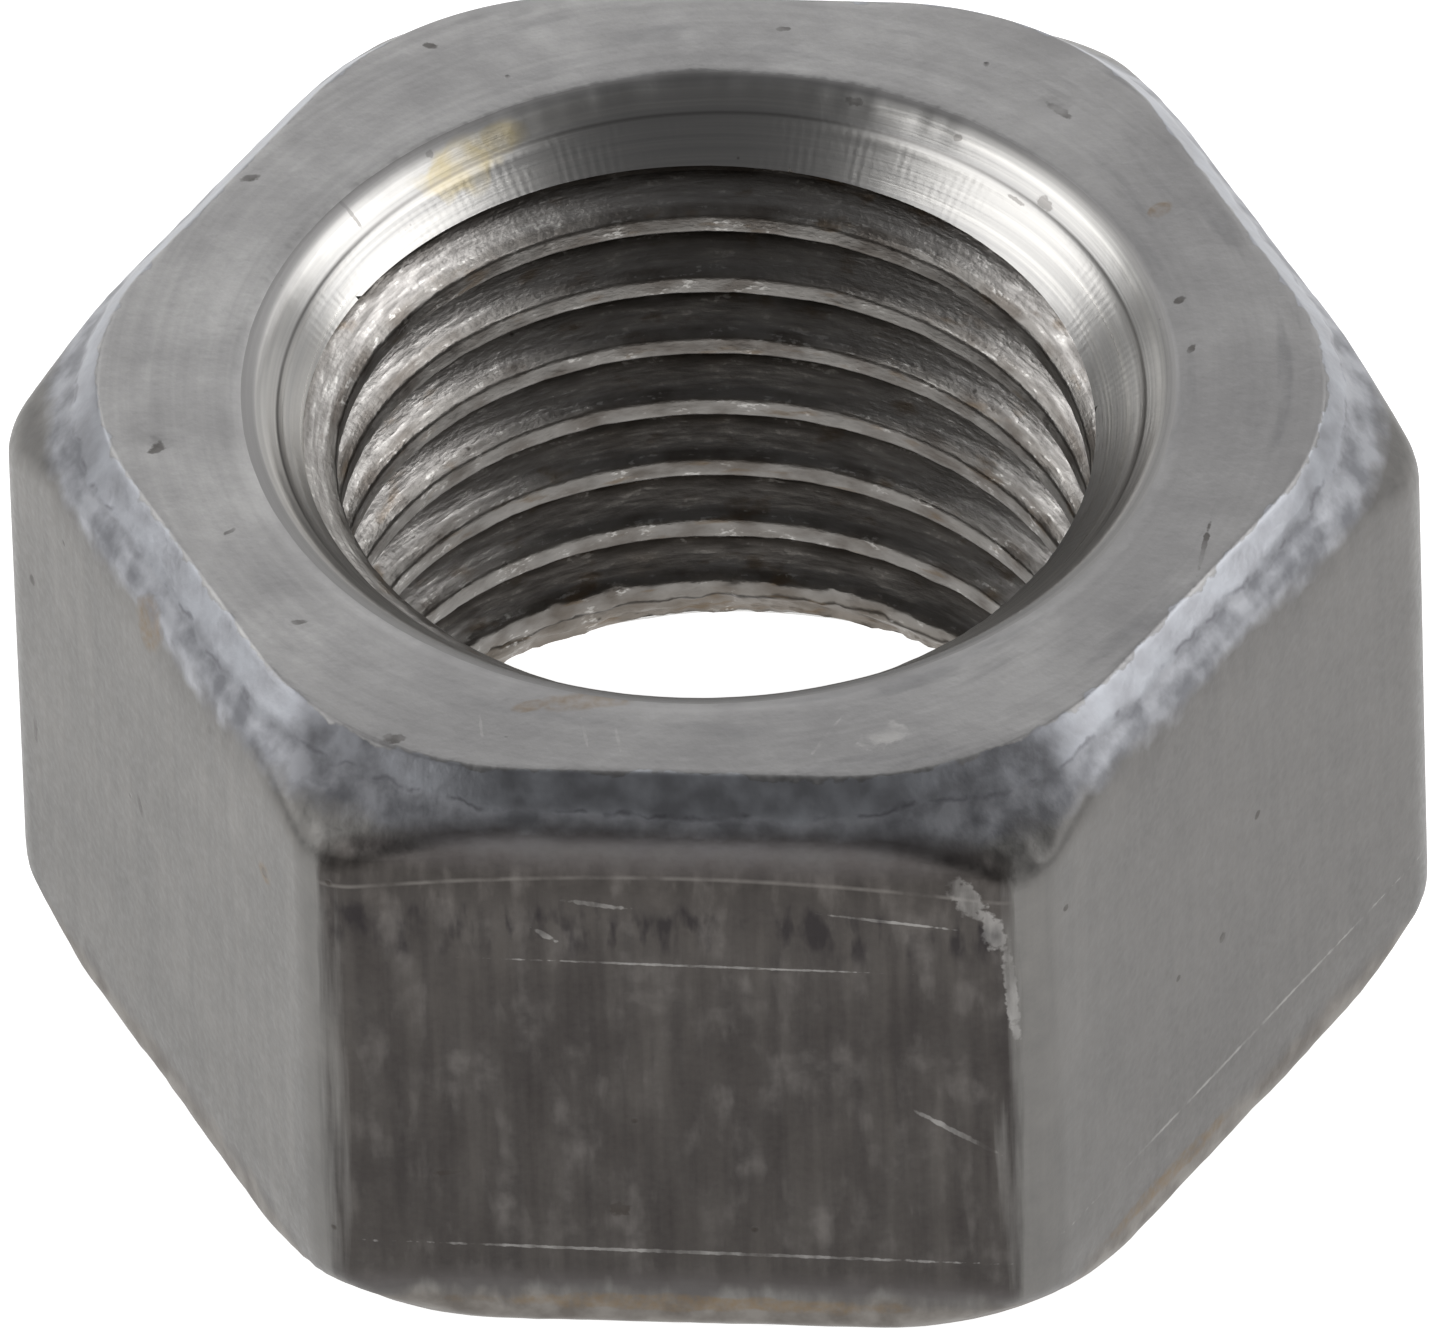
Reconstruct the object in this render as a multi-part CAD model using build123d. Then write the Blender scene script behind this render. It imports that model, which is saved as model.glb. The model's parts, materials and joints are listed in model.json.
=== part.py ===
from build123d import *
from build123d.topology import SkipClean
import math
import os

# Plain cold-formed steel hex nut, 1/2-20 UNF-2B, right-hand thread, double chamfered and
# countersunk at both ends. It is one piece of steel, so it is one solid.
# Frame: origin at the centre of the lower bearing face, +Z up along the thread axis, the six
# corners at 0, 60, 120 ... degrees from +X, so one pair of wrench flats faces -Y and +Y.
# All lengths are in millimetres.

# Hex body
WIDTH_ACROSS_FLATS = 19.05   # 3/4 inch wrench size
HEIGHT = 11.11               # 7/16 inch
SIDE_EDGE_RADIUS = 1.25      # forged rounding of the six upright edges

# Rolled top edge: the flat upper bearing face ends in a rounded hexagon, then drops at 45 degrees
TOP_FACE_HALF_WIDTH = 8.65   # axis to the middle of a side of the bearing face
TOP_FACE_CORNER_RADIUS = 4.9
TOP_ROLL_RADIUS = 0.3

# Bottom edge: the same form with a smaller chamfer
BOTTOM_FACE_HALF_WIDTH = 9.15
BOTTOM_FACE_CORNER_RADIUS = 4.1
BOTTOM_ROLL_RADIUS = 0.6

CHAMFER_ANGLE = 45.0         # from the thread axis

# Thread, 60 degree unified form
PITCH = 25.4 / 20
MINOR_RADIUS = 5.75          # crest of the internal thread
PITCH_RADIUS = 6.00
ROOT_RADIUS = 6.40
FLANK_ANGLE = 30.0           # from a plane square to the axis
TOP_CREST_DEPTH = 1.94       # top face down to the middle of the first full crest at +Y
CUTTER_CLEARANCE = 0.25      # how far the groove form reaches inside the crest cylinder

# Countersinks
COUNTERSINK_ANGLE = 45.0     # from the thread axis
TOP_COUNTERSINK_RADIUS = 7.05
BOTTOM_COUNTERSINK_RADIUS = 6.90
LIP_RADIUS = 0.5             # rounding where the countersink meets the bearing face


def rounded_hexagon(half_width, corner_radius):
    """Hexagon with arcs for corners, half_width from its centre to the middle of a side."""
    outline = RegularPolygon(half_width, 6, major_radius=False)
    return fillet(outline.vertices(), corner_radius)


def chamfer_form(half_width, corner_radius, upward):
    """Solid that widens at CHAMFER_ANGLE away from a bearing face and trims the hex body."""
    outline = rounded_hexagon(half_width, corner_radius)
    form = extrude(outline, HEIGHT, taper=-CHAMFER_ANGLE)
    if upward:
        return form
    return Pos(0, 0, HEIGHT) * Rot(180, 0, 0) * form


def bearing_face_edges(solid, z):
    """Outline edges of the flat bearing face at height z."""
    face = solid.faces().filter_by(Axis.Z).sort_by(lambda f: abs(f.center().Z - z))[0]
    return face.outer_wire().edges()


def hex_body():
    """Solid hexagonal slug with its rounded upright edges, chamfers and rolled rims."""
    body = extrude(rounded_hexagon(WIDTH_ACROSS_FLATS / 2, SIDE_EDGE_RADIUS), HEIGHT)
    body &= chamfer_form(BOTTOM_FACE_HALF_WIDTH, BOTTOM_FACE_CORNER_RADIUS, upward=True)
    body &= chamfer_form(TOP_FACE_HALF_WIDTH, TOP_FACE_CORNER_RADIUS, upward=False)
    body = fillet(bearing_face_edges(body, HEIGHT), TOP_ROLL_RADIUS)
    body = fillet(bearing_face_edges(body, 0), BOTTOM_ROLL_RADIUS)
    return body


def bore():
    """Cylinder at the crest radius, longer than the nut is high."""
    return Pos(0, 0, HEIGHT / 2) * Cylinder(MINOR_RADIUS, HEIGHT + 2)


def countersink(mouth_radius):
    """Tool for the countersink of the lower face: a cone with a rounded lip at its mouth."""
    depth = (mouth_radius - MINOR_RADIUS) / math.tan(math.radians(COUNTERSINK_ANGLE))
    overrun = 0.4
    tip_radius = MINOR_RADIUS - overrun
    tip_depth = depth + overrun / math.tan(math.radians(COUNTERSINK_ANGLE))
    tangent = LIP_RADIUS * math.tan(math.radians(COUNTERSINK_ANGLE) / 2)
    slope = math.radians(COUNTERSINK_ANGLE)
    lip_start = (mouth_radius + tangent, 0)
    lip_end = (mouth_radius - tangent * math.sin(slope), tangent * math.cos(slope))
    lip_middle_radius = mouth_radius + tangent - LIP_RADIUS * math.sin(slope / 2)
    lip_middle = (lip_middle_radius, LIP_RADIUS * (1 - math.cos(slope / 2)))
    outline = [
        Line((0, -1), (mouth_radius + tangent, -1)),
        Line((mouth_radius + tangent, -1), lip_start),
        ThreePointArc(lip_start, lip_middle, lip_end),
        Line(lip_end, (tip_radius, tip_depth)),
        Line((tip_radius, tip_depth), (0, tip_depth)),
        Line((0, tip_depth), (0, -1)),
    ]
    return revolve(Plane.XZ * make_face(outline), Axis.Z)


def thread_groove():
    """Helical trapezoid cut between the crests, run out past both faces."""
    slope = math.tan(math.radians(FLANK_ANGLE))
    inner_radius = MINOR_RADIUS - CUTTER_CLEARANCE
    inner_half = PITCH / 4 + (PITCH_RADIUS - inner_radius) * slope
    root_half = PITCH / 4 - (ROOT_RADIUS - PITCH_RADIUS) * slope
    # groove centre at +X: half a pitch off the crest, a quarter turn back from +Y
    centre_at_x = HEIGHT - TOP_CREST_DEPTH + PITCH / 2 - PITCH / 4
    start = centre_at_x - math.ceil(centre_at_x / PITCH + 1) * PITCH
    turns = math.ceil((HEIGHT - start) / PITCH) + 1
    section = Plane.XZ * make_face(Polyline(
        (inner_radius, -inner_half),
        (ROOT_RADIUS, -root_half),
        (ROOT_RADIUS, root_half),
        (inner_radius, inner_half),
        close=True,
    ))
    path = Helix(PITCH, turns * PITCH, PITCH_RADIUS)
    return Pos(0, 0, start) * sweep(section, path=path, is_frenet=True)


def sector(index):
    """Wedge from the axis that holds one wrench flat, between two neighbouring corners."""
    reach = WIDTH_ACROSS_FLATS
    rays = [math.radians(60 * index), math.radians(60 * (index + 1))]
    corners = [(reach * math.cos(a), reach * math.sin(a)) for a in rays]
    return Pos(0, 0, -1) * extrude(make_face(Polyline((0, 0), *corners, close=True)), HEIGHT + 2)


def in_sixths(nut):
    """The same solid with its faces divided at the six corners, so no face winds a full turn."""
    sixths = [nut & sector(i) for i in range(6)]
    whole = sixths[0]
    for sixth in sixths[1:]:
        whole = whole + sixth
    return whole


def hex_nut():
    """The finished nut: bored, tapped, then countersunk from both faces."""
    with SkipClean():
        nut = hex_body() - bore() - thread_groove()
        nut = nut - countersink(BOTTOM_COUNTERSINK_RADIUS)
        nut = nut - Pos(0, 0, HEIGHT) * Rot(180, 0, 0) * countersink(TOP_COUNTERSINK_RADIUS)
        return in_sixths(nut)


os.makedirs("parts", exist_ok=True)
export_step(hex_nut(), "parts/hex_nut.step")
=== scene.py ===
import json
import math

import bmesh
import bpy
from mathutils import Matrix, Vector, noise


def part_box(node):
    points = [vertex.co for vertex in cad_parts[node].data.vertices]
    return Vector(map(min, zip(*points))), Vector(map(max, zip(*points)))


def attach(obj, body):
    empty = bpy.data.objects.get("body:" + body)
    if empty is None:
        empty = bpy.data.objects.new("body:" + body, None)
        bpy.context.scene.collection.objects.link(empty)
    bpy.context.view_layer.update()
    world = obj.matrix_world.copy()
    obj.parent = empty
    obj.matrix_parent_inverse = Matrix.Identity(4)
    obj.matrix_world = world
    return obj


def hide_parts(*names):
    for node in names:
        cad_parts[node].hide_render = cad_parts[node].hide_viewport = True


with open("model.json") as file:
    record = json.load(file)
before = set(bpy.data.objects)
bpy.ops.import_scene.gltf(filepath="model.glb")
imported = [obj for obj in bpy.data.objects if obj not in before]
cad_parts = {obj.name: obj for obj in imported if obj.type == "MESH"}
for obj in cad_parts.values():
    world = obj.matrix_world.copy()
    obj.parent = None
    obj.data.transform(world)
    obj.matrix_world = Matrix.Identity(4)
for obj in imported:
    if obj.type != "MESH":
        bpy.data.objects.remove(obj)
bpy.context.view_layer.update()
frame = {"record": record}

# One plain cold-formed steel hex nut, built ring by ring in millimetres and placed in metres.
MM = 0.001

record = frame["record"]
low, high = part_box("hex_nut")
thread = next(m for m in record["mounts"] if m["name"] == "thread")

# Real sizes of the nut, millimetres
HEIGHT = (high[2] - low[2]) / MM
HALF_WIDTH = high[1] / MM               # axis to a wrench flat
CREST_RADIUS = thread["dims"]["r_mm"]   # inside of the thread
ROOT_RADIUS = 6.40
PITCH_RADIUS = 6.00
PITCH = 25.4 / 20
FIRST_CREST = HEIGHT - 1.94             # middle of the first full crest, at +Y
SIDE_EDGE_RADIUS = 1.25
SHOULDER = 0.30                         # rounding where the chamfers meet the wrench flats
BACK_LIP, FRONT_LIP = 0.22, 0.80        # rounding of the countersinks' outer edges
STEP_DEPTH = 0.42                       # where each countersink's outer band steps to its inner one
STEP_CUT = 0.008


class End:
    """Sizes of one end of the nut: where it lies and how its rim and its countersink are shaped."""

    def __init__(self, at_top, half_width, corner_radius, roll_radius, mouth_radius):
        self.at_top = at_top
        self.half_width = half_width
        self.corner_radius = corner_radius
        self.roll_radius = roll_radius
        self.mouth_radius = mouth_radius

    def level(self, depth):
        """Height above the lower bearing face of a point depth inside this end."""
        return HEIGHT - depth if self.at_top else depth


TOP = End(True, 8.78, 4.9, 0.12, 7.05)
BOTTOM = End(False, 9.15, 4.1, 0.6, 6.90)

# Mesh fineness
COLUMNS = 384                           # points round every ring, a multiple of six
SECTOR = COLUMNS // 6
ARC = 10                                # columns from a corner's middle to where its arc ends
TURN = 2 * math.pi
SAME_POINT = 0.0015                     # points nearer than this are one, millimetres
CREASE = math.radians(38)               # edges sharper than this stay crisp
ON_CONE = 0.01                          # how near the cone a point must be to lie on it
LEVEL_NORMAL = 0.966                    # faces flatter than this are bearing face


def deselect_everything():
    if bpy.context.object and bpy.context.object.mode != "OBJECT":
        bpy.ops.object.mode_set(mode="OBJECT")
    bpy.ops.object.select_all(action="DESELECT")


def polar_hexagon(half_width, corner_radius, angle):
    """Distance from the axis to a rounded hexagon's outline in the direction angle."""
    off_corner = abs((angle + math.pi / 6) % (math.pi / 3) - math.pi / 6)
    side = half_width / math.cos(math.pi / 6 - off_corner)
    centre = (half_width - corner_radius) / math.cos(math.pi / 6)
    arc_end = math.atan2(corner_radius * 0.5, centre + corner_radius * math.cos(math.pi / 6))
    if off_corner >= arc_end:
        return side
    across = centre * math.sin(off_corner)
    return centre * math.cos(off_corner) + math.sqrt(max(0.0, corner_radius ** 2 - across ** 2))


def body_outline():
    """(x, y) of every column on the hexagonal body, closer together round its corners."""
    points = []
    centre = (HALF_WIDTH - SIDE_EDGE_RADIUS) / math.cos(math.pi / 6)
    straight = (HALF_WIDTH - SIDE_EDGE_RADIUS) * math.tan(math.pi / 6)
    for i in range(COLUMNS):
        k, j = divmod(i + SECTOR // 2, SECTOR)
        j -= SECTOR // 2
        corner = math.radians(60 * k)
        if abs(j) <= ARC:
            turn = corner + math.radians(30) * j / ARC
            x = centre * math.cos(corner) + SIDE_EDGE_RADIUS * math.cos(turn)
            y = centre * math.sin(corner) + SIDE_EDGE_RADIUS * math.sin(turn)
        else:
            sign = 1 if j > 0 else -1
            facing = corner + sign * math.radians(30)
            along = -sign * straight * (SECTOR / 2 - abs(j)) / (SECTOR / 2 - ARC)
            x = HALF_WIDTH * math.cos(facing) - along * math.sin(facing)
            y = HALF_WIDTH * math.sin(facing) + along * math.cos(facing)
        points.append((x, y))
    return points


BODY = body_outline()
DIRECTION = [math.atan2(y, x) for x, y in BODY]
REACH = [math.hypot(x, y) for x, y in BODY]


def circle(radius, level):
    """A ring of evenly spaced points."""
    turns = [TURN * i / COLUMNS for i in range(COLUMNS)]
    return [(radius * math.cos(a), radius * math.sin(a), level) for a in turns]


def form_ring(end, grow, depth):
    """The end's rounded hexagon, grown by grow, at depth below its bearing face."""
    ring = []
    for angle in DIRECTION:
        r = polar_hexagon(end.half_width + grow, end.corner_radius + grow, angle)
        ring.append((r * math.cos(angle), r * math.sin(angle), end.level(depth)))
    return ring


def shoulder_depths(end):
    """Depth at which the 45 degree chamfer meets the body, for every column."""
    depths = []
    for angle, reach in zip(DIRECTION, REACH):
        near, far = 0.0, 4.0
        for _ in range(40):
            middle = (near + far) / 2
            r = polar_hexagon(end.half_width + middle, end.corner_radius + middle, angle)
            near, far = (middle, far) if r < reach else (near, middle)
        depths.append(near)
    return depths


TOP_SHOULDER = shoulder_depths(TOP)
BOTTOM_SHOULDER = shoulder_depths(BOTTOM)


def cone_radius(end, depth):
    """Countersink at 45 degrees: an outer band, then a fine step down to the inner band."""
    r = end.mouth_radius - depth
    return r if depth <= STEP_DEPTH else r + STEP_CUT


def thread_start(end):
    """Depth inside an end at which the cone comes down to just outside the thread's roots."""
    return end.mouth_radius - ROOT_RADIUS - 0.05


def between(a, b, share):
    return tuple(p + (q - p) * share for p, q in zip(a, b))


def ease(value, start, end):
    """0 before start, 1 after end and smooth between them."""
    t = min(1.0, max(0.0, (value - start) / (end - start)))
    return t * t * (3 - 2 * t)


def lip_radius(angle):
    """Rounding of a countersink's outer edge: crisp at the back, soft from the left round the front."""
    return BACK_LIP + (FRONT_LIP - BACK_LIP) * ease(math.cos(angle - math.radians(250)), -0.7, 0.3)


def end_rings(end, shoulder, face_rows, roll_rows, chamfer_rows, shoulder_rows):
    """Rings from the countersink, out over its lip, the bearing face and the rolled rim, to the flats.

    Also gives the number of the ring where the bearing face ends and the rolled rim starts.
    """
    half_turn = math.radians(45)
    inner_edge = thread_start(end)
    depths = [inner_edge, inner_edge - 0.04, STEP_DEPTH + 0.02, STEP_DEPTH, STEP_DEPTH - 0.03]
    rings = [circle(cone_radius(end, depth), end.level(depth)) for depth in depths]
    turns = [TURN * i / COLUMNS for i in range(COLUMNS)]
    cone_end = STEP_DEPTH - 0.03
    for row in range(1, 8):
        ring = []
        for angle in turns:
            lip = lip_radius(angle)
            lip_depth = lip * (1 - math.cos(half_turn))
            if row < 4:
                depth = cone_end + (lip_depth - cone_end) * row / 4
                r = end.mouth_radius - depth
            else:
                lean = half_turn * (1 - (row - 4) / 3)
                depth = lip * (1 - math.cos(lean))
                r = end.mouth_radius + lip * (math.tan(half_turn / 2) - math.sin(lean))
            ring.append((r * math.cos(angle), r * math.sin(angle), end.level(depth)))
        rings.append(ring)
    roll_reach = end.roll_radius * math.tan(half_turn / 2)
    inner = rings[-1]
    outer = form_ring(end, -roll_reach, 0)
    for row in range(1, face_rows + 1):
        share = row / face_rows
        rings.append([between(a, b, share) for a, b in zip(inner, outer)])
    face_edge = len(rings) - 1
    for row in range(1, roll_rows + 1):
        turn = half_turn * row / roll_rows
        grow = -roll_reach + end.roll_radius * math.sin(turn)
        rings.append(form_ring(end, grow, end.roll_radius * (1 - math.cos(turn))))
    start = end.roll_radius * (1 - math.cos(half_turn))
    for row in range(1, chamfer_rows + 1):
        ring = []
        for i, angle in enumerate(DIRECTION):
            stop = shoulder[i] - SHOULDER * 0.7
            depth = start + (max(stop, start + 0.02 * chamfer_rows) - start) * row / chamfer_rows
            r = polar_hexagon(end.half_width + depth, end.corner_radius + depth, angle)
            ring.append((r * math.cos(angle), r * math.sin(angle), end.level(depth)))
        rings.append(ring)
    above = rings[-1]
    for row in range(1, shoulder_rows + 1):
        t = row / shoulder_rows
        ring = []
        for i, (x, y) in enumerate(BODY):
            knee = (x, y, end.level(shoulder[i]))
            below = (x, y, end.level(shoulder[i] + SHOULDER))
            ring.append(between(between(above[i], knee, t), between(knee, below, t), t))
        rings.append(ring)
    return rings, face_edge


def lengths_from(rings, start):
    """Distance along the surface, column by column, of every ring from the ring numbered start."""
    lengths = [[0.0] * COLUMNS for _ in rings]
    for k in range(start + 1, len(rings)):
        lengths[k] = [d + math.dist(a, b) for d, a, b in zip(lengths[k - 1], rings[k - 1], rings[k])]
    for k in range(start - 1, -1, -1):
        lengths[k] = [d - math.dist(a, b) for d, a, b in zip(lengths[k + 1], rings[k + 1], rings[k])]
    return lengths


def place_selected(points, lengths):
    """Moves the selected ring's vertices, which remember their column, onto points in millimetres."""
    mesh = bpy.context.object.data
    edit = bmesh.from_edit_mesh(mesh)
    column = edit.verts.layers.int["column"]
    from_rim = edit.verts.layers.float["from_rim"]
    for v in edit.verts:
        if v.select:
            v.co = Vector(points[v[column]]) * MM
            v[from_rim] = lengths[v[column]]
    bmesh.update_edit_mesh(mesh)


def forge_body():
    """The outside of the nut: one ring extruded over the top face, down the flats and under."""
    top, top_edge = end_rings(TOP, TOP_SHOULDER, 16, 3, 13, 5)
    bottom, bottom_edge = end_rings(BOTTOM, BOTTOM_SHOULDER, 9, 5, 4, 5)
    side_rows = 32
    side = []
    for row in range(1, side_rows):
        share = row / side_rows
        side.append([between(a, b, share) for a, b in zip(top[-1], bottom[-1])])
    rings = top + side + bottom[::-1]
    from_top = lengths_from(rings, top_edge)
    from_bottom = lengths_from(rings, len(rings) - 1 - bottom_edge)
    lengths = []
    for k in range(len(rings)):
        if k <= len(top):
            lengths.append(from_top[k])
        elif k >= len(top) + len(side):
            lengths.append([-d for d in from_bottom[k]])
        else:
            lengths.append([min(a, -b) for a, b in zip(from_top[k], from_bottom[k])])

    deselect_everything()
    bpy.ops.mesh.primitive_circle_add(vertices=COLUMNS, radius=TOP.mouth_radius * MM, fill_type="NOTHING")
    body = bpy.context.object
    body.name = "nut"
    body.data.attributes.new("from_rim", "FLOAT", "POINT")
    layer = body.data.attributes.new("column", "INT", "POINT")
    for v in body.data.vertices:
        turn = math.atan2(v.co.y, v.co.x) / TURN * COLUMNS
        layer.data[v.index].value = round(turn) % COLUMNS
    bpy.ops.object.mode_set(mode="EDIT")
    bpy.ops.mesh.select_all(action="SELECT")
    place_selected(rings[0], lengths[0])
    for ring, reach in zip(rings[1:], lengths[1:]):
        bpy.ops.mesh.extrude_region_move()
        place_selected(ring, reach)
    bpy.ops.object.mode_set(mode="OBJECT")
    return body


def thread_profile():
    """One pitch of the thread in the XZ plane, from crest middle to crest middle, slightly eased edges."""
    slope = math.tan(math.radians(30))
    crest = PITCH / 4 - (PITCH_RADIUS - CREST_RADIUS) * slope
    root = PITCH / 4 - (ROOT_RADIUS - PITCH_RADIUS) * slope
    rounding = 0.03
    depth = ROOT_RADIUS - CREST_RADIUS
    half = [(CREST_RADIUS, 0.0), (CREST_RADIUS, crest * 0.5), (CREST_RADIUS, crest - rounding)]
    half.append((CREST_RADIUS + rounding, crest + rounding * slope))
    flank_end = PITCH / 2 - root
    for share in (0.3, 0.55, 0.8):
        half.append((CREST_RADIUS + depth * share, crest + (flank_end - crest) * share))
    half.append((ROOT_RADIUS - 0.02, flank_end - 0.01))
    mirrored = [(r, PITCH - z) for r, z in reversed(half)]
    return half + [(ROOT_RADIUS, PITCH / 2)] + mirrored


def tap_thread():
    """The bore: the thread form wound up the axis, then opened out by the two countersinks."""
    profile = thread_profile()
    base = FIRST_CREST - PITCH / 4
    below = math.ceil(base / PITCH) + 1
    turns = below + math.ceil((HEIGHT - base) / PITCH)

    deselect_everything()
    bpy.ops.mesh.primitive_plane_add(size=2 * MM)
    wall = bpy.context.object
    bpy.ops.object.mode_set(mode="EDIT")
    edit = bmesh.from_edit_mesh(wall.data)
    for v in edit.verts:
        v.select = v.co.y > 0
    edit.select_flush_mode()
    bmesh.update_edit_mesh(wall.data)
    bpy.ops.mesh.delete(type="VERT")
    bpy.ops.mesh.select_all(action="SELECT")
    bpy.ops.mesh.subdivide(number_cuts=len(profile) - 2)
    edit = bmesh.from_edit_mesh(wall.data)
    chain = sorted(edit.verts, key=lambda v: v.co.x)
    for v, (r, z) in zip(chain, profile):
        v.co = Vector((r, 0, z + base - below * PITCH)) * MM
    bmesh.update_edit_mesh(wall.data)
    bpy.ops.object.mode_set(mode="OBJECT")

    screw = wall.modifiers.new("thread", "SCREW")
    screw.axis = "Z"
    screw.angle = TURN
    screw.screw_offset = PITCH * MM
    screw.iterations = turns
    screw.steps = COLUMNS
    screw.render_steps = COLUMNS
    bpy.ops.object.modifier_apply(modifier=screw.name)

    bpy.ops.object.mode_set(mode="EDIT")
    bpy.ops.mesh.select_all(action="SELECT")
    bpy.ops.mesh.remove_doubles(threshold=SAME_POINT * MM)
    bpy.ops.object.mode_set(mode="OBJECT")
    open_out(wall)
    return wall


def over_cone(r, z):
    """How far a point of the bore lies outside the nearer countersink, in millimetres."""
    return r - (cone_radius(TOP, HEIGHT - z) if z > HEIGHT / 2 else cone_radius(BOTTOM, z))


def open_out(wall):
    """Cuts the wound thread back to the two countersinks, column by column."""
    chains = [[] for _ in range(COLUMNS)]
    for v in wall.data.vertices:
        x, y, z = v.co / MM
        column = round(math.atan2(y, x) / TURN * COLUMNS) % COLUMNS
        chains[column].append([math.hypot(x, y), z, v])
    for column, chain in enumerate(chains):
        chain.sort(key=lambda point: point[1])
        for a, b in zip(chain, chain[1:]):
            over_a, over_b = over_cone(a[0], a[1]), over_cone(b[0], b[1])
            if over_a * over_b < 0:
                share = over_a / (over_a - over_b)
                nearer = a if share < 0.5 else b
                nearer[0], nearer[1] = between(a[:2], b[:2], share)
        turn = TURN * column / COLUMNS
        for r, z, v in chain:
            for end, depth in ((TOP, HEIGHT - z), (BOTTOM, z)):
                edge = thread_start(end)
                if depth < edge:
                    r = cone_radius(end, edge)
                    z = end.level(edge)
                elif depth < HEIGHT / 2:
                    r = max(r, cone_radius(end, depth))
            v.co = Vector((r * math.cos(turn), r * math.sin(turn), z)) * MM


def join_and_close(body, wall):
    """Body and bore become one closed skin that faces outwards."""
    deselect_everything()
    wall.select_set(True)
    body.select_set(True)
    bpy.context.view_layer.objects.active = body
    bpy.ops.object.join()
    bpy.ops.object.mode_set(mode="EDIT")
    bpy.ops.mesh.select_all(action="SELECT")
    bpy.ops.mesh.remove_doubles(threshold=SAME_POINT * MM)
    bpy.ops.mesh.normals_make_consistent(inside=False)
    bpy.ops.object.mode_set(mode="OBJECT")
    bpy.ops.object.shade_smooth_by_angle(angle=CREASE)
    return body


def on_flat(facing, along, up):
    """Point in millimetres on the wrench flat that faces the given angle, along from its middle line."""
    f = math.radians(facing)
    return Vector((
        HALF_WIDTH * math.cos(f) - along * math.sin(f),
        HALF_WIDTH * math.sin(f) + along * math.cos(f),
        up,
    ))


# Dents and scars that can be felt: place, radius and depth in millimetres
DENTS = [
    (on_flat(270, -0.99, 2.7), 0.38, 0.045),
    (on_flat(270, -5.25, 9.85), 0.32, 0.06),
    (on_flat(270, -5.05, 10.25), 0.25, 0.05),
    (on_flat(270, -4.75, 10.05), 0.25, 0.03),
    (on_flat(270, 5.35, 9.75), 0.30, 0.05),
    (on_flat(270, 5.00, 10.05), 0.26, 0.05),
    (on_flat(330, -5.00, 10.1), 0.28, 0.05),
    (on_flat(210, 5.00, 9.9), 0.30, 0.05),
    (on_flat(30, 2.4, 7.1), 0.40, 0.05),
    (on_flat(90, -3.1, 4.2), 0.45, 0.05),
    (on_flat(150, 1.6, 3.0), 0.35, 0.04),
    (Vector((-8.35, -1.76, HEIGHT)), 0.22, 0.03),
    (Vector((4.9, 6.4, HEIGHT)), 0.30, 0.02),
    (Vector((5.6, 5.9, 0)), 0.40, 0.03),
    (Vector((-7.9, 2.2, 0)), 0.35, 0.03),
]


def fold_line(angle):
    """How far over the rim the fold left by the forging die runs, in millimetres."""
    turn = Vector((math.cos(angle), math.sin(angle), 0))
    return 0.60 + 0.20 * noise.noise(turn * 4.5) + 0.10 * noise.noise(turn * 21)


def metal_lost(p, from_rim):
    """Depth in millimetres that the die and handling have taken from a point on the outside."""
    rim = ease(from_rim, 0.0, 0.6) * (1 - ease(from_rim, 1.3, 2.0))
    lost = rim * 0.030 * (0.5 + 0.5 * noise.noise(p * 0.9))
    lost += rim * 0.016 * (0.5 + 0.5 * noise.noise(p * 3.4))
    angle = math.atan2(p.y, p.x)
    past_fold = from_rim - fold_line(angle)
    height = 0.035 if p.z > HEIGHT / 2 else 0.02
    strength = ease(noise.noise(Vector((2.2 * math.cos(angle), 2.2 * math.sin(angle), 1.0))), -0.45, 0.1)
    lost += rim * height * strength * ease(past_fold, -0.12, 0.12)
    rough_band = ease(past_fold, 0.0, 0.2) * (1 - ease(from_rim, 1.0, 1.5))
    lost += rough_band * 0.02 * (0.5 + 0.5 * noise.noise(p * 6.0))
    flat = ease(from_rim, 1.2, 2.2)
    lost += flat * 0.012 * (0.5 + 0.5 * noise.noise(Vector((p.x * 0.5, p.y * 0.5, p.z * 0.25))))
    face = 1 - ease(from_rim, -0.3, 0.0)
    lost += face * 0.006 * (0.5 + 0.5 * noise.noise(p * 0.8))
    for place, radius, depth in DENTS:
        gap = (p - place).length
        if gap < radius * 1.6:
            lost += depth * (1 - ease(gap, radius * 0.3, radius * 1.5))
    return lost


def mouth_wander(angle):
    """How far the countersink's torn edge strays outwards, in millimetres, most at the back of the nut."""
    turn = Vector((math.cos(angle), math.sin(angle), 0))
    back = ease(math.sin(angle), 0.8, 0.98)
    ragged = noise.noise(turn * 9) * 0.6 + noise.noise(turn * 27) * 0.4
    burr = ease(math.cos(angle - math.radians(96)), math.cos(math.radians(7)), 1.0)
    return (0.012 + 0.05 * back) * ragged + 0.06 * burr


def crest_tear(p):
    """How ragged a thread's crest is at a point: worst in the last turn at the back, where it tore."""
    torn = ease(p.y, 2.5, 5.0) * (1 - ease(p.z, 1.9, 2.9))
    rough = noise.noise(Vector((p.x * 1.6, p.y * 1.6, p.z * 1.1)))
    fine = noise.noise(Vector((p.x * 5.0, p.y * 5.0, p.z * 3.0)))
    return (0.012 + 0.05 * torn) * (rough + 0.9 * fine)


def smeared(p):
    """How fully torn metal closes the last groove at a point: only at the back."""
    back = ease(p.y, 2.2, 4.2)
    ragged = 0.12 * noise.noise(Vector((p.x * 2.0, p.y * 2.0, 0.0)))
    return back * ease(p.z, 0.80, 0.92) * (1 - ease(p.z + ragged, 1.36, 1.50))


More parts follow.
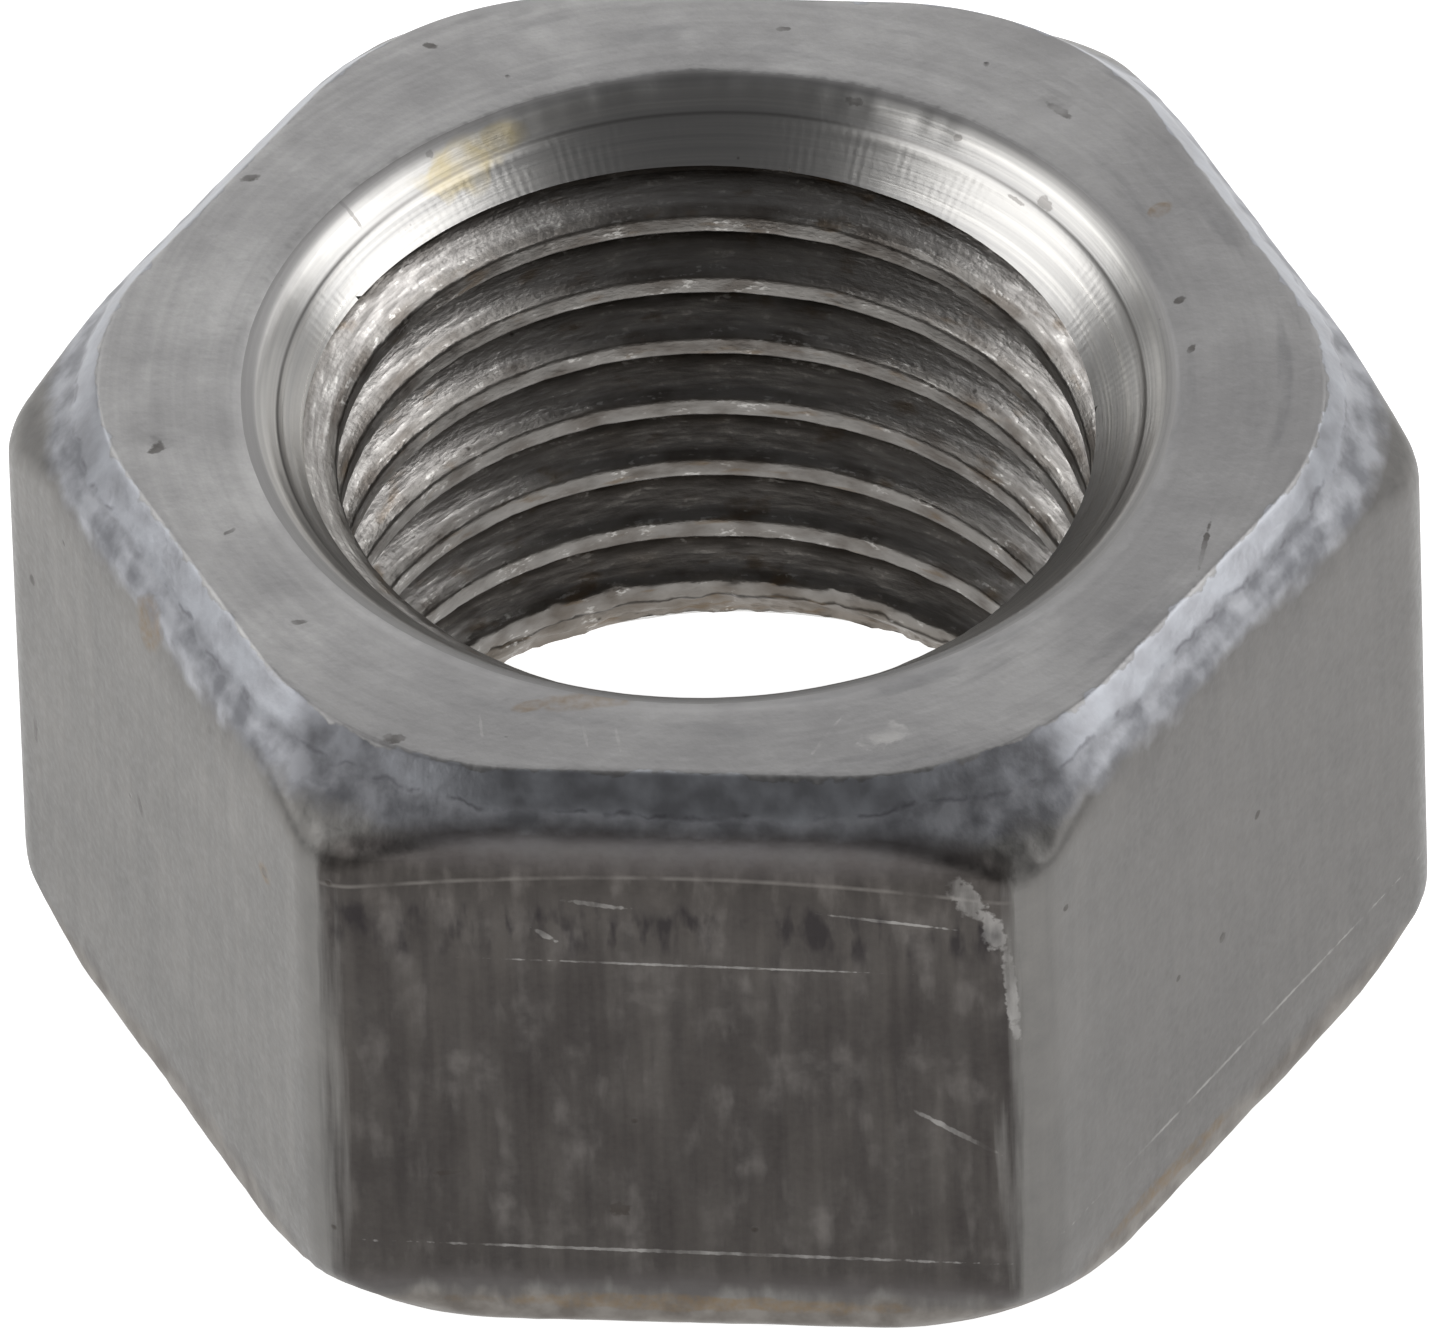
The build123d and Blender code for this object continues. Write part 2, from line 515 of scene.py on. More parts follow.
def wear_surface(nut):
    """Works the scars of making and use into the mesh, always inwards, so the nut keeps its size."""
    mesh = nut.data
    from_rim = mesh.attributes["from_rim"].data
    past_fold = mesh.attributes.new("past_fold", "FLOAT", "POINT").data
    normals = [v.normal.copy() for v in mesh.vertices]
    for v, out in zip(mesh.vertices, normals):
        p = v.co / MM
        r = math.hypot(p.x, p.y)
        angle = math.atan2(p.y, p.x)
        outward = Vector((math.cos(angle), math.sin(angle), 0))
        if r > ROOT_RADIUS + 0.06:
            past_fold[v.index].value = from_rim[v.index].value - fold_line(angle)
            p -= out * metal_lost(p, from_rim[v.index].value)
            near_mouth = 1 - ease(abs(r - TOP.mouth_radius), 0.1, 0.45)
            p += outward * mouth_wander(angle) * near_mouth
        elif r > CREST_RADIUS + 0.08 and smeared(p) > 0:
            closed = CREST_RADIUS + 0.08 + 0.10 * (1 - ease(p.z, 1.0, 1.3)) + crest_tear(p)
            p -= outward * smeared(p) * max(0.0, r - closed)
        elif r < CREST_RADIUS + 0.06:
            p += outward * max(0.0, 1.6 * crest_tear(p))
            p.z += 0.8 * crest_tear(p + Vector((5, 0, 0)))
        elif 1.0 < p.z < HEIGHT - 1.0 and r < ROOT_RADIUS - 0.06:
            p.z += 0.5 * crest_tear(p * 1.3)
        v.co = p * MM
    mesh.attributes.remove(mesh.attributes["column"])


def choose_finishes(nut):
    """Gives every face its finish by how it was made: forged, countersunk or tapped."""
    for face in nut.data.polygons:
        corners = [nut.data.vertices[i].co / MM for i in face.vertices]
        x, y, z = face.center / MM
        r = math.hypot(x, y)
        end, depth = (TOP, HEIGHT - z) if z > HEIGHT / 2 else (BOTTOM, z)
        on_cone = all(abs(over_cone(math.hypot(p.x, p.y), p.z)) < ON_CONE for p in corners)
        in_mouth = ROOT_RADIUS < r < end.mouth_radius + 0.1
        on_lip = in_mouth and depth < 0.3 and abs(face.normal.z) < LEVEL_NORMAL
        if on_cone or on_lip:
            face.material_index = COUNTERSINK
        elif r < ROOT_RADIUS + 0.05:
            face.material_index = THREAD


FORGED, COUNTERSINK, THREAD = range(3)
nut = join_and_close(forge_body(), tap_thread())
choose_finishes(nut)
wear_surface(nut)


# Materials --------------------------------------------------------------------------------

def colour(sheet):
    """Linear colour of an sRGB hex value."""
    channels = [int(sheet[i:i + 2], 16) / 255 for i in (0, 2, 4)]
    return [c / 12.92 if c <= 0.04045 else ((c + 0.055) / 1.055) ** 2.4 for c in channels] + [1.0]


def node(tree, kind, inputs=(), **settings):
    """Adds one node.

    Inputs go to its sockets in order, or by name or number if they are a dict. Each is a value, a socket
    that feeds it, or a node whose first output feeds it.
    """
    made = tree.nodes.new("ShaderNode" + kind)
    for name, value in settings.items():
        setattr(made, name, value)
    placed = inputs.items() if isinstance(inputs, dict) else enumerate(inputs)
    for socket, value in placed:
        if isinstance(value, bpy.types.Node):
            value = value.outputs[0]
        if isinstance(value, bpy.types.NodeSocket):
            tree.links.new(value, made.inputs[socket])
        else:
            made.inputs[socket].default_value = value
    return made


def new_finish(name):
    """An empty material, its node tree, and the place on the nut in millimetres."""
    finish = bpy.data.materials.new(name)
    finish.use_nodes = True
    tree = finish.node_tree
    tree.nodes.clear()
    metres = node(tree, "TexCoord").outputs["Object"]
    place = node(tree, "VectorMath", {0: metres, "Scale": 1 / MM}, operation="SCALE")
    return finish, tree, place


def grain(tree, place, size, detail=3.0):
    """Mottling between 0 and 1 whose lumps measure size, three lengths in millimetres."""
    squeezed = node(tree, "Mapping", {"Vector": place, "Scale": [1 / s for s in size]})
    lumps = node(tree, "TexNoise", {"Vector": squeezed, "Scale": 1.0, "Detail": detail})
    return lumps.outputs["Fac"]


def turned_grain(tree, place, across, along, detail=3.0, rise=0.0):
    """Mottling drawn out round the axis, as a spinning tool or die leaves it; lengths in millimetres.

    A rise above 0 also changes the mottling up the axis, so no two turns of a thread look alike.
    """
    level = node(tree, "VectorMath", (place, (1, 1, 0)), operation="MULTIPLY")
    radius = node(tree, "VectorMath", (level,), operation="LENGTH").outputs["Value"]
    heading = node(tree, "VectorMath", (level,), operation="NORMALIZE")
    spread = node(tree, "VectorMath", {0: heading, "Scale": 7.5 / along}, operation="SCALE")
    parts = node(tree, "SeparateXYZ", (spread,)).outputs
    height = node(tree, "SeparateXYZ", (place,)).outputs["Z"]
    out = node(tree, "Math", (height, rise, radius), operation="MULTIPLY_ADD")
    out = node(tree, "Math", (out, 1 / across), operation="MULTIPLY")
    wound = node(tree, "CombineXYZ", (out, parts[0], parts[1]))
    return node(tree, "TexNoise", {"Vector": wound, "Scale": 1.0, "Detail": detail}).outputs["Fac"]


def mark(tree, place, ragged, at, size, turn=0.0, tilt=0.0):
    """1 inside a small mark of the given half lengths with a torn outline, 0 outside it."""
    own = node(tree, "Mapping", {
        "Vector": place, "Location": at, "Scale": size,
        "Rotation": (math.radians(tilt), 0, math.radians(turn)),
    }, vector_type="TEXTURE")
    reach = node(tree, "VectorMath", (own,), operation="LENGTH").outputs["Value"]
    torn = node(tree, "Math", (ragged, 1.6, reach), operation="MULTIPLY_ADD")
    return node(tree, "MapRange", (torn, 1.9, 1.6))


def marks(tree, place, ragged, group):
    """The union of a group of marks."""
    found = None
    for at, size, turn, tilt in group:
        one = mark(tree, place, ragged, at, size, turn, tilt)
        found = one if found is None else node(tree, "Math", (found, one), operation="MAXIMUM")
    return found


def flat_mark(facing, along, up, length, width, tilt=0.0):
    """Place, half sizes and turn of a mark on a wrench flat; tilt lifts its far end, in degrees."""
    return on_flat(facing, along, up), (0.3, length / 2, width / 2), facing, tilt


def top_mark(x, y, length, width, turn=0.0):
    return Vector((x, y, HEIGHT)), (length / 2, width / 2, 0.25), turn, 0.0


def cone_mark(angle, radius, length, width):
    """A mark on the upper countersink, length measured round it."""
    a = math.radians(angle)
    depth = TOP.mouth_radius - radius
    return Vector(
        (radius * math.cos(a), radius * math.sin(a), HEIGHT - depth),
    ), (width / 2, length / 2, 0.5), angle, 0.0


def scattered_pits(tree, place, spacing, radius, share):
    """Small pits strewn at random, in a share of cells of the given spacing, lengths in millimetres."""
    cells = node(tree, "TexVoronoi", {"Vector": place, "Scale": 1 / spacing})
    chosen = node(tree, "SeparateXYZ", (cells.outputs["Color"],))
    kept = node(tree, "Math", (chosen, share), operation="LESS_THAN")
    inside = node(tree, "MapRange", (cells.outputs["Distance"], radius / spacing, radius / spacing * 0.4))
    return node(tree, "Math", (inside, kept), operation="MULTIPLY")


PITS = [
    top_mark(-7.35, 4.4, 0.28, 0.16, 20), top_mark(-4.79, 7.52, 0.24, 0.14),
    top_mark(-8.35, -1.76, 0.34, 0.2, 60), top_mark(-4.3, -8.14, 0.34, 0.22),
    top_mark(7.73, -3.4, 0.09, 1.0, -6), top_mark(7.05, 2.15, 0.26, 0.14, 40),
    top_mark(7.27, 1.03, 0.2, 0.1, 70), top_mark(4.96, 6.4, 0.5, 0.16, -40),
    top_mark(-5.9, -5.6, 0.25, 0.12), top_mark(-7.1, -3.6, 0.2, 0.1, 40), top_mark(0.6, 8.1, 0.3, 0.1, 0),
    flat_mark(210, -4.37, 7.58, 0.2, 0.22), flat_mark(210, -0.72, 5.87, 0.14, 0.4, 20),
    flat_mark(210, 1.94, 9.61, 0.16, 0.16), flat_mark(210, 3.75, 8.14, 0.2, 0.2),
    flat_mark(210, -4.48, 4.37, 0.12, 0.6), flat_mark(330, -0.5, 4.68, 0.16, 0.2),
    flat_mark(330, -1.72, 4.78, 0.12, 0.12), flat_mark(330, -4.71, 8.59, 0.14, 0.14),
    flat_mark(330, 0.53, 6.41, 0.14, 0.14), flat_mark(270, -0.99, 2.7, 0.3, 0.3),
    flat_mark(270, -3.6, 3.4, 0.4, 0.1, 10), flat_mark(30, 1.1, 5.2, 0.2, 0.2),
    flat_mark(90, 2.2, 8.0, 0.2, 0.2), flat_mark(150, -3.0, 6.6, 0.2, 0.3),
]
SCUFFS = [
    top_mark(3.14, -7.8, 0.75, 0.5, 35), top_mark(2.2, -7.95, 0.9, 0.06, 65),
    top_mark(-1.4, -8.0, 0.06, 0.7, 12), top_mark(-0.9, -8.05, 0.05, 0.6, 12),
    top_mark(-3.0, -7.8, 0.05, 0.5, 8), flat_mark(270, 4.45, 9.35, 0.42, 0.9, 28),
    flat_mark(270, 4.85, 8.65, 0.36, 0.8, 16), flat_mark(270, 5.08, 7.4, 0.20, 2.2, 4),
    flat_mark(270, 4.2, 4.5, 1.5, 0.10, -34), flat_mark(270, -1.2, 9.05, 0.9, 0.10, -8),
    flat_mark(270, -2.0, 8.4, 0.40, 0.10, -35), flat_mark(270, 0.1, 1.86, 8.6, 0.07, -1),
    flat_mark(270, 0.3, 7.83, 5.5, 0.05, -1), flat_mark(270, 3.2, 8.85, 1.8, 0.06, -7),
    flat_mark(330, 0, 2.05, 9.0, 0.06, 0), flat_mark(90, 1.0, 6.2, 3.4, 0.07, 30),
    flat_mark(150, -1.0, 5.0, 2.6, 0.07, -42), flat_mark(30, 2.0, 3.6, 2.8, 0.06, 18),
]
STAINS = [
    top_mark(-1.35, -7.15, 1.5, 0.42, 12), top_mark(-2.3, -7.35, 0.5, 0.25, 20),
    flat_mark(210, -0.2, 10.05, 0.9, 1.1, 0), flat_mark(210, 3.75, 8.14, 0.4, 0.35),
    flat_mark(270, 0.0, 0.75, 6.4, 0.35), flat_mark(330, -2.0, 0.9, 3.5, 0.4),
    flat_mark(150, 2.0, 1.0, 3.0, 0.5), top_mark(6.6, 4.2, 0.5, 0.3, 45),
]


def cold_forged_steel():
    """Plain cold-forged steel, pressed from wire in a closed die and left uncoated.

    The bearing faces are matt and cloudy from the blank. The rims, squeezed against the die, are smoother and
    cooler in tone and end in a torn fold. The wrench flats carry upright lines from the die and keep patches
    of dark drawing lubricant baked on in the press.
    """
    finish, tree, place = new_finish("cold_forged_steel")
    cloud = grain(tree, place, (2.4, 2.4, 2.4), 4.0)
    lumps = grain(tree, place, (0.55, 0.55, 0.55), 4.0)
    fine = grain(tree, place, (0.13, 0.13, 0.13), 2.0)      # the real grain is half this, too fine to show
    drawn = grain(tree, place, (0.24, 0.24, 3.6), 5.0)
    smear = grain(tree, place, (0.5, 0.5, 1.6), 5.0)
    arcs = turned_grain(tree, place, 0.16, 5.0, 3.0)
    ragged = node(tree, "Math", (lumps, fine), operation="ADD")
    ragged_half = node(tree, "Math", (ragged, 0.5), operation="MULTIPLY")
    outline = grain(tree, place, (0.45, 0.45, 0.45), 5.0)

    from_rim = node(tree, "Attribute", attribute_name="from_rim").outputs["Fac"]
    torn = node(tree, "Math", (outline, 0.5, from_rim), operation="MULTIPLY_ADD")
    face = node(tree, "MapRange", (torn, 0.34, 0.29))
    rim_end = node(tree, "Math", (cloud, 0.9, torn), operation="MULTIPLY_ADD")
    rim = node(tree, "Math", (
        node(tree, "MapRange", (rim_end, 2.15, 1.85)), node(tree, "MapRange", (torn, 0.29, 0.34)),
    ), operation="MULTIPLY")

    # Wrench flats: streaked upright. The tone follows position: the one to the right of the front is darker,
    # a painted shade
    flat_tone = node(tree, "Math", (
        node(tree, "Math", (drawn, 0.35), operation="MULTIPLY"),
        node(tree, "Math", (ragged_half, 0.65), operation="MULTIPLY"),
    ), operation="ADD")
    flat_tone = node(tree, "MapRange", (
        node(tree, "Math", (
            flat_tone, node(tree, "MapRange", (cloud, 0.2, 0.8, 0.8, 1.2)),
        ), operation="MULTIPLY"),
        0.3, 0.7,
    ))
    paint = node(tree, "MixRGB", (flat_tone, colour("676664"), colour("7C7A77")))
    parts = node(tree, "SeparateXYZ", (place,)).outputs
    painted_shade_right_flat = node(tree, "Math", (
        node(tree, "MapRange", (parts[0], 4.5, 7.0)), node(tree, "MapRange", (parts[1], 1.0, -1.0)),
    ), operation="MULTIPLY")
    paint = node(tree, "MixRGB", (
        node(tree, "Math", (painted_shade_right_flat, 0.5), operation="MULTIPLY"), paint, colour("636160"),
    ))

    # Baked lubricant: most of the front flat, and thin on the one behind
    edge = node(tree, "Math", (smear, 2.2), operation="MULTIPLY")
    side = node(tree, "Math", (parts[0],), operation="ABSOLUTE")
    left_of_middle = node(tree, "Math", (parts[0], 0.18), operation="ADD")
    film_side = node(tree, "Math", (left_of_middle,), operation="ABSOLUTE")
    side_edge = node(tree, "Math", (drawn, 0.9, film_side), operation="MULTIPLY_ADD")
    on_front = node(tree, "Math", (
        node(tree, "MapRange", (parts[1], -9.1, -9.35)), node(tree, "MapRange", (side_edge, 5.80, 5.45)),
    ), operation="MULTIPLY")
    low_end = node(tree, "Math", (smear, 1.5, parts[2]), operation="MULTIPLY_ADD")
    on_front = node(tree, "Math", (
        on_front, node(tree, "MapRange", (low_end, 1.5, 1.9)),
    ), operation="MULTIPLY")
    shoulder_film = node(tree, "Math", (
        on_front, node(tree, "MapRange", (torn, 0.95, 1.3)),
    ), operation="MULTIPLY")
    on_front = node(tree, "Math", (
        on_front, node(tree, "MapRange", (from_rim, 1.35, 1.6)),
    ), operation="MULTIPLY")
    upper = node(tree, "Math", (
        on_front,
        node(tree, "MapRange", (node(tree, "Math", (parts[2], edge), operation="ADD"), 9.9, 10.4)),
    ), operation="MULTIPLY")
    behind = node(tree, "Math", (
        node(tree, "MapRange", (parts[1], 9.1, 9.4)),
        node(tree, "MapRange", (cloud, 0.38, 0.66, 0.08, 0.34)),
    ), operation="MULTIPLY")
    film = node(tree, "MixRGB", (
        node(tree, "MapRange", (
            node(tree, "Math", (
                node(tree, "Math", (drawn, cloud), operation="MULTIPLY"),
                node(tree, "Math", (fine, 0.25), operation="MULTIPLY"),
            ), operation="ADD"),
            0.22, 0.55,
        )),
        colour("322E2D"), colour("494542"),
    ))
    paint = node(tree, "MixRGB", (
        node(tree, "Math", (
            node(tree, "Math", (on_front, behind), operation="MAXIMUM"),
            node(tree, "MapRange", (smear, 0.2, 0.7, 0.97, 0.86)),
        ), operation="MULTIPLY"),
        paint, film,
    ))
    thin = node(tree, "MixRGB", (
        node(tree, "MapRange", (smear, 0.35, 0.65)), colour("393634"), colour("4F4B48"),
    ))
    paint = node(tree, "MixRGB", (node(tree, "Math", (upper, 0.9), operation="MULTIPLY"), paint, thin))
    band_place = node(tree, "Math", (edge, parts[2]), operation="ADD")
    band = node(tree, "Math", (
        node(tree, "MapRange", (band_place, 9.0, 9.4)), node(tree, "MapRange", (band_place, 10.1, 9.8)),
    ), operation="MULTIPLY")
    columns = node(tree, "MapRange", (grain(tree, place, (0.35, 0.35, 1.2), 3.0), 0.50, 0.62))
    paint = node(tree, "MixRGB", (
        node(tree, "Math", (
            node(tree, "Math", (band, columns), operation="MULTIPLY"),
            node(tree, "Math", (on_front, 0.85), operation="MULTIPLY"),
        ), operation="MULTIPLY"),
        paint, colour("2E2B2C"),
    ))

    # Pale lines where the die's edge met the film, bowed down towards the corners
    bow = node(tree, "Math", (
        parts[0], node(tree, "Math", (parts[0], 0.014), operation="MULTIPLY"), parts[2],
    ), operation="MULTIPLY_ADD")
    first_line = node(tree, "Math", (
        node(tree, "MapRange", (bow, 10.08, 10.2)), node(tree, "MapRange", (bow, 10.42, 10.24)),
    ), operation="MULTIPLY")
    second_line = node(tree, "Math", (
        node(tree, "MapRange", (bow, 9.57, 9.61)), node(tree, "MapRange", (bow, 9.68, 9.63)),
    ), operation="MULTIPLY")
    lines = node(tree, "Math", (
        first_line, node(tree, "Math", (second_line, 0.6), operation="MULTIPLY"),
    ), operation="MAXIMUM")
    lines = node(tree, "Math", (
        node(tree, "Math", (lines, on_front), operation="MULTIPLY"),
        node(tree, "MapRange", (lumps, 0.36, 0.6, 0.1, 0.75)),
    ), operation="MULTIPLY")
    paint = node(tree, "MixRGB", (lines, paint, colour("7C7874")))
    rubbed = node(tree, "Math", (
        node(tree, "Math", (
            node(tree, "MapRange", (smear, 0.50, 0.70)), node(tree, "MapRange", (lumps, 0.40, 0.62)),
        ), operation="MULTIPLY"),
        on_front,
    ), operation="MULTIPLY")
    paint = node(tree, "MixRGB", (
        node(tree, "Math", (rubbed, 0.55), operation="MULTIPLY"), paint, colour("6C6865"),
    ))

    # Rim and bearing faces
    past_fold = node(tree, "Attribute", attribute_name="past_fold").outputs["Fac"]
    fold_edge = node(tree, "Math", (outline, 0.35, past_fold), operation="MULTIPLY_ADD")
    second = node(tree, "MapRange", (fold_edge, 0.15, 0.23))
    rim_tone = node(tree, "MixRGB", (
        node(tree, "MapRange", (lumps, 0.35, 0.65)), colour("8E8F93"), colour("A2A4A9"),
    ))
    rough_tone = node(tree, "MixRGB", (
        node(tree, "MapRange", (lumps, 0.38, 0.62)), colour("77787C"), colour("9E9FA3"),
    ))
    rim_tone = node(tree, "MixRGB", (
        node(tree, "Math", (second, 0.9), operation="MULTIPLY"), rim_tone, rough_tone,
    ))
    crack = node(tree, "Math", (
        node(tree, "MapRange", (fold_edge, 0.10, 0.15)), node(tree, "MapRange", (fold_edge, 0.21, 0.16)),
    ), operation="MULTIPLY")
    crack = node(tree, "Math", (crack, node(tree, "MapRange", (smear, 0.46, 0.56))), operation="MULTIPLY")
    rim_tone = node(tree, "MixRGB", (
        node(tree, "Math", (crack, 0.5), operation="MULTIPLY"), rim_tone, colour("56545A"),
    ))
    # Rougher rim at the two front corners, and darker there by position: the darker colour is painted shade
    corner = node(tree, "Math", (
        node(tree, "MapRange", (side, 3.4, 4.8)), node(tree, "MapRange", (side, 6.25, 5.55)),
    ), operation="MULTIPLY")
    corner = node(tree, "Math", (
        corner, node(tree, "MapRange", (parts[1], -7.0, -7.8)),
    ), operation="MULTIPLY")
    rim_tone = node(tree, "MixRGB", (
        node(tree, "Math", (
            corner, node(tree, "MapRange", (lumps, 0.3, 0.6, 0.85, 0.5)),
        ), operation="MULTIPLY"),
        rim_tone, colour("525255"),
    ))
    under = node(tree, "MapRange", (parts[2], 3.0, 1.6))
    worn_under = node(tree, "MixRGB", (
        node(tree, "MapRange", (lumps, 0.36, 0.62)), colour("67625D"), colour("827E79"),
    ))
    rim_tone = node(tree, "MixRGB", (under, rim_tone, worn_under))
    paint = node(tree, "MixRGB", (rim, paint, rim_tone))
    shoulder_film = node(tree, "Math", (
        shoulder_film, node(tree, "MapRange", (from_rim, 1.9, 1.5)),
    ), operation="MULTIPLY")
    paint = node(tree, "MixRGB", (
        node(tree, "Math", (shoulder_film, 0.85), operation="MULTIPLY"), paint, colour("524E4D"),
    ))
    # Painted shade: a darker strip just past the rim, broken up by the smear noise
    shade_past_rim = node(tree, "Math", (
        node(tree, "MapRange", (from_rim, 1.05, 1.25)), node(tree, "MapRange", (from_rim, 1.75, 1.35)),
    ), operation="MULTIPLY")
    shade_past_rim = node(tree, "Math", (
        shade_past_rim, node(tree, "MapRange", (smear, 0.40, 0.62, 0.0, 0.55)),
    ), operation="MULTIPLY")
    paint = node(tree, "MixRGB", (shade_past_rim, paint, colour("5E5C5B")))
    face_tone = node(tree, "Math", (
        node(tree, "MapRange", (cloud, 0.3, 0.7, 0.7, 1.3)),
        node(tree, "MapRange", (arcs, 0.3, 0.7, 0.86, 1.14)),
    ), operation="MULTIPLY")
    face_tone = node(tree, "Math", (
        face_tone, node(tree, "MapRange", (ragged_half, 0.35, 0.65, 0.8, 1.2)),
    ), operation="MULTIPLY")
    face_paint = node(tree, "MixRGB", (
        node(tree, "MapRange", (face_tone, 0.55, 1.45)), colour("898888"), colour("AEADAC"),
    ))
    # Smudges on the upper face, made stronger towards its right by position: the smudges are dirt, the rise
    # to the right is painted shade
    smudge_and_shade = turned_grain(tree, place, 0.5, 2.6, 4.0)
    smudge_and_shade = node(tree, "Math", (
        node(tree, "MapRange", (smudge_and_shade, 0.55, 0.68)),
        node(tree, "MapRange", (parts[0], -6.0, 6.0, 0.25, 0.75)),
    ), operation="MULTIPLY")
    face_paint = node(tree, "MixRGB", (smudge_and_shade, face_paint, colour("7B7B7C")))
    # The upper face is darker towards its right and its front, by position: painted shade
    painted_shade_on_face = node(tree, "Math", (
        node(tree, "MapRange", (parts[0], -3.0, 8.0)), node(tree, "MapRange", (parts[1], -6.2, -8.0)),
    ), operation="MAXIMUM")
    painted_shade_on_face = node(tree, "Math", (painted_shade_on_face, 0.5), operation="MULTIPLY")
    face_paint = node(tree, "MixRGB", (painted_shade_on_face, face_paint, colour("797878")))
    paint = node(tree, "MixRGB", (face, paint, face_paint))

    specks = scattered_pits(tree, place, 0.9, 0.07, 0.22)
    pits = node(tree, "Math", (marks(tree, place, fine, PITS), specks), operation="MAXIMUM")
    scuffs = node(tree, "Math", (
        marks(tree, place, fine, SCUFFS), node(tree, "MapRange", (smear, 0.38, 0.6, 0.05, 1.0)),
    ), operation="MULTIPLY")
    stains = marks(tree, place, lumps, STAINS)
    paint = node(tree, "MixRGB", (
        node(tree, "Math", (
            stains, node(tree, "MapRange", (ragged_half, 0.35, 0.65, 0.05, 0.6)),
        ), operation="MULTIPLY"),
        paint, colour("7A6547"),
    ))
    paint = node(tree, "MixRGB", (
        node(tree, "Math", (scuffs, 0.36), operation="MULTIPLY"), paint, colour("BDBBB8"),
    ))
    paint = node(tree, "MixRGB", (
        node(tree, "Math", (
            pits, node(tree, "MapRange", (lumps, 0.35, 0.6, 0.15, 0.7)),
        ), operation="MULTIPLY"),
        paint, colour("3A3531"),
    ))

    rough = node(tree, "MapRange", (fine, 0.3, 0.7, 0.38, 0.50))
    rim_rough = node(tree, "MapRange", (
        second, 0, 1, node(tree, "MapRange", (lumps, 0.3, 0.7, 0.38, 0.46)), 0.48,
    ))
    rim_rough = node(tree, "MapRange", (corner, 0, 1, rim_rough, 0.56))
    rough = node(tree, "MapRange", (rim, 0, 1, rough, rim_rough))
    height = node(tree, "Math", (
        fine, 0.5, node(tree, "Math", (lumps, 0.6), operation="MULTIPLY"),
    ), operation="MULTIPLY_ADD")
    height = node(tree, "Math", (
        node(tree, "Math", (drawn, 0.15), operation="MULTIPLY"), height,
    ), operation="ADD")
    height = node(tree, "Math", (specks, -1.2, height), operation="MULTIPLY_ADD")
    bump = node(tree, "Bump", {"Height": height, "Strength": 1.0, "Distance": 0.010 * MM})
    shader = node(tree, "BsdfPrincipled", {
        "Base Color": paint, "Metallic": 1.0, "Roughness": rough, "Normal": bump,
    })
    node(tree, "OutputMaterial", {"Surface": shader})
    return finish


